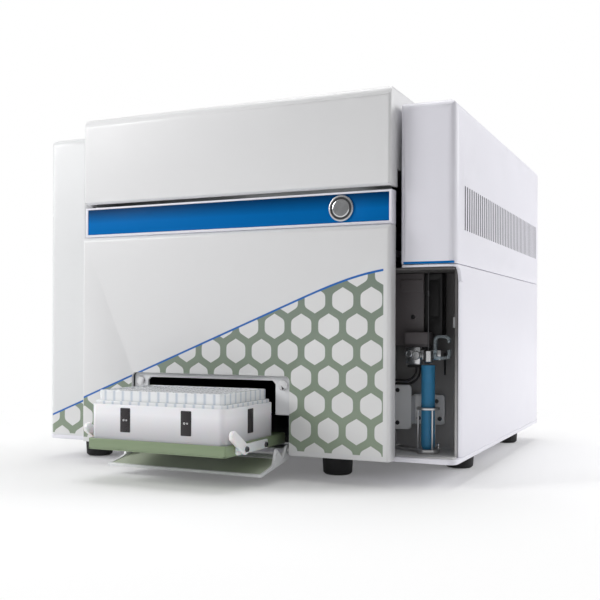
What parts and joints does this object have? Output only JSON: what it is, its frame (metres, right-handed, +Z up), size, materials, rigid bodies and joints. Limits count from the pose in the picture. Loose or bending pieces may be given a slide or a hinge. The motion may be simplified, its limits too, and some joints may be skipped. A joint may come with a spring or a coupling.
{
  "type": "flow cytometer",
  "caption": "Benchtop flow cytometer with a slide-out microplate tray behind a drop-down door, a tube bay at the front corner and a hinged hood.",
  "frame": {"origin": "centre of the whole part's footprint, tray and door out, on the bench", "axes": "+X to the right, +Y to the back, +Z up"},
  "size_m": [0.425, 0.507, 0.34],
  "materials": {
    "white_shell": "satin moulded",
    "hood_white": "satin moulded",
    "panel_white": "satin moulded with a printed field",
    "blue_plastic": "glossy",
    "brushed_metal": "brushed",
    "dark_sheet": "matt powder coat",
    "chassis_steel": "zinc",
    "deck_aluminium": "machined",
    "rubber": "matt",
    "tray_green": "satin",
    "white_block": "milky",
    "black_plastic": "matt",
    "clear_plastic": "clear polystyrene",
    "tube_blue": "tinted polystyrene",
    "pale_sheet": "satin",
    "grey_plastic": "matt",
    "board_green": "solder mask",
    "anodised_black": "anodised",
    "fibre_orange": "jacket"
  },
  "bodies": {
    "cabinet": {"base_pan": "white_shell", "feet": "rubber", "chassis_frame": "chassis_steel", "optics_deck": "deck_aluminium", "left_cover": "white_shell", "right_upper_cover": "white_shell", "right_lower_cover": "white_shell", "rear_panel": "white_shell", "front_panel": "panel_white", "band_bezel": "white_shell", "blue_band": "blue_plastic", "trim_stripe": "blue_plastic", "button_ring": "brushed_metal", "hood_hinge_base": "chassis_steel", "loader_bezel": "white_shell", "door_bumpers": "grey_plastic", "loader_tunnel": "dark_sheet", "loader_rods": "brushed_metal", "loader_belt": "rubber", "loader_pulleys": "deck_aluminium", "loader_motor": "anodised_black", "door_brackets": "chassis_steel", "bay_liner": "dark_sheet", "black_column": "black_plastic", "probe_housing": "grey_plastic", "wash_block": "brushed_metal", "bay_bracket": "pale_sheet", "bay_sensor": "white_block", "bay_hose": "rubber", "needle_lift": "deck_aluminium", "flow_cell": "anodised_black", "laser_modules": "anodised_black", "detector_modules": "anodised_black", "fibre_lines": "fibre_orange", "sheath_pump": "grey_plastic", "sheath_filter": "white_block", "main_board": "board_green", "power_supply": "chassis_steel", "fan_frame": "black_plastic", "fan_guard": "brushed_metal", "power_inlet": "black_plastic", "fluid_ports": "brushed_metal"},
    "hood": {"hood": "hood_white", "hood_hinge_lugs": "chassis_steel"},
    "door": {"loader_door": "pale_sheet"},
    "tray": {"tray": "tray_green", "tray_carriage": "deck_aluminium", "clip_bars": "white_block", "plate_adapter": "white_block", "adapter_labels": "black_plastic", "well_plate": "clear_plastic"},
    "clip_right": {"clip_right": "white_block"},
    "clip_left": {"clip_left": "white_block"},
    "power_button": {"power_button": "brushed_metal"},
    "tube_arm": {"tube_arm": "brushed_metal", "tube_cage": "brushed_metal", "sample_tube": "tube_blue"},
    "needle": {"sample_needle": "brushed_metal"},
    "fan_rotor": {"fan_rotor": "black_plastic"},
    "power_rocker": {"power_rocker": "black_plastic"}
  },
  "joints": [
    {"name": "tray_slide", "type": "slide", "parent": "cabinet", "child": "tray", "axis": [0, 1, 0], "range_m": [0, 0.25]},
    {"name": "door_hinge", "type": "hinge", "parent": "cabinet", "child": "door", "pos_m": [-0.0168, -0.1585, 0.025], "axis": [-1, 0, 0], "range_deg": [0, 99]},
    {"name": "hood_hinge", "type": "hinge", "parent": "cabinet", "child": "hood", "pos_m": [0, 0.2305, 0.331], "axis": [-1, 0, 0], "range_deg": [0, 60]},
    {"name": "clip_right_pivot", "type": "hinge", "parent": "tray", "child": "clip_right", "pos_m": [0.0552, -0.2295, 0.0334], "axis": [-1, 0, 0], "range_deg": [0, 18]},
    {"name": "clip_left_pivot", "type": "hinge", "parent": "tray", "child": "clip_left", "pos_m": [-0.0888, -0.2295, 0.0334], "axis": [-1, 0, 0], "range_deg": [0, 18]},
    {"name": "power_button_press", "type": "slide", "parent": "cabinet", "child": "power_button", "axis": [0, 1, 0], "range_m": [0, 0.002], "stiffness_N_per_m": 400},
    {"name": "tube_arm_swing", "type": "hinge", "parent": "cabinet", "child": "tube_arm", "pos_m": [0.146, -0.1075, 0.026], "axis": [0, 0, -1], "range_deg": [0, 30]},
    {"name": "needle_lift", "type": "slide", "parent": "cabinet", "child": "needle", "axis": [0, 0, -1], "range_m": [0, 0.04]},
    {"name": "fan_spin", "type": "hinge", "parent": "cabinet", "child": "fan_rotor", "pos_m": [0.06, 0.2265, 0.24], "axis": [0, 1, 0], "continuous": true},
    {"name": "power_rocker_tilt", "type": "hinge", "parent": "cabinet", "child": "power_rocker", "pos_m": [0.118, 0.2335, 0.091], "axis": [1, 0, 0], "range_deg": [-6, 6]}
  ],
  "couplings": [
    {"joint": "door_hinge", "follows": "tray_slide", "rad_per_m": 6.9115},
    {"joint": "clip_left_pivot", "follows": "clip_right_pivot", "ratio": 1}
  ]
}
